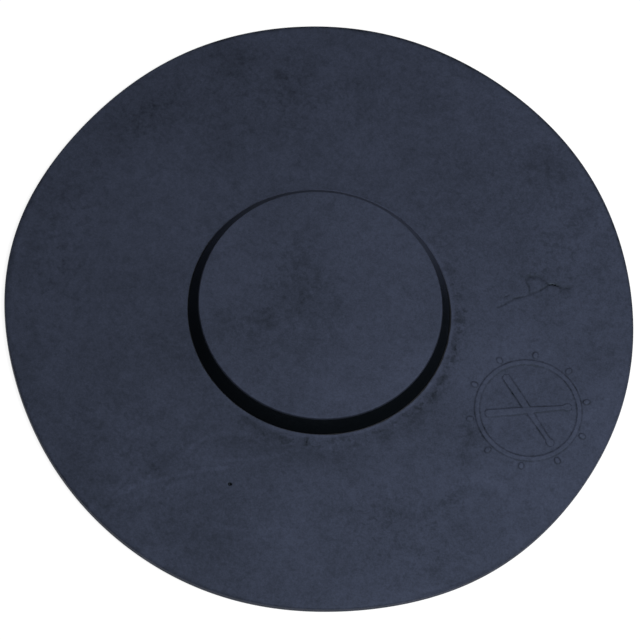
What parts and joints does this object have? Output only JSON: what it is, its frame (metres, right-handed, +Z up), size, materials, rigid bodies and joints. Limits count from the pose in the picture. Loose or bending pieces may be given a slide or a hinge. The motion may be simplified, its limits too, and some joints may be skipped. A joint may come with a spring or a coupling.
{
  "type": "drum practice pad",
  "caption": "Round rubber practice pad that lies on a snare drum: a thin wide mat with a raised playing disc, sloping wall and a metal contact plate underneath.",
  "frame": {"origin": "middle of the mat's underside, on the drumhead or table that the pad lies on", "axes": "+Z up through the playing disc, +X to the right of a player facing +Y, with the emblem on the right, -Y towards the player"},
  "size_m": [0.33, 0.33, 0.0145],
  "materials": {
    "mat_rubber": "dull moulded blue-black rubber with a grey bloom",
    "disc_rubber": "dull moulded blue-black rubber, worn smoother where the sticks land",
    "rubber_cement": "thin dried black rubber cement",
    "plate_steel": "spun steel, dull with handling marks"
  },
  "bodies": {
    "root": {"base_mat": "mat_rubber", "playing_disc": "disc_rubber", "disc_bond": "rubber_cement", "contact_plate": "plate_steel", "plate_bond": "rubber_cement"}
  },
  "joints": []
}
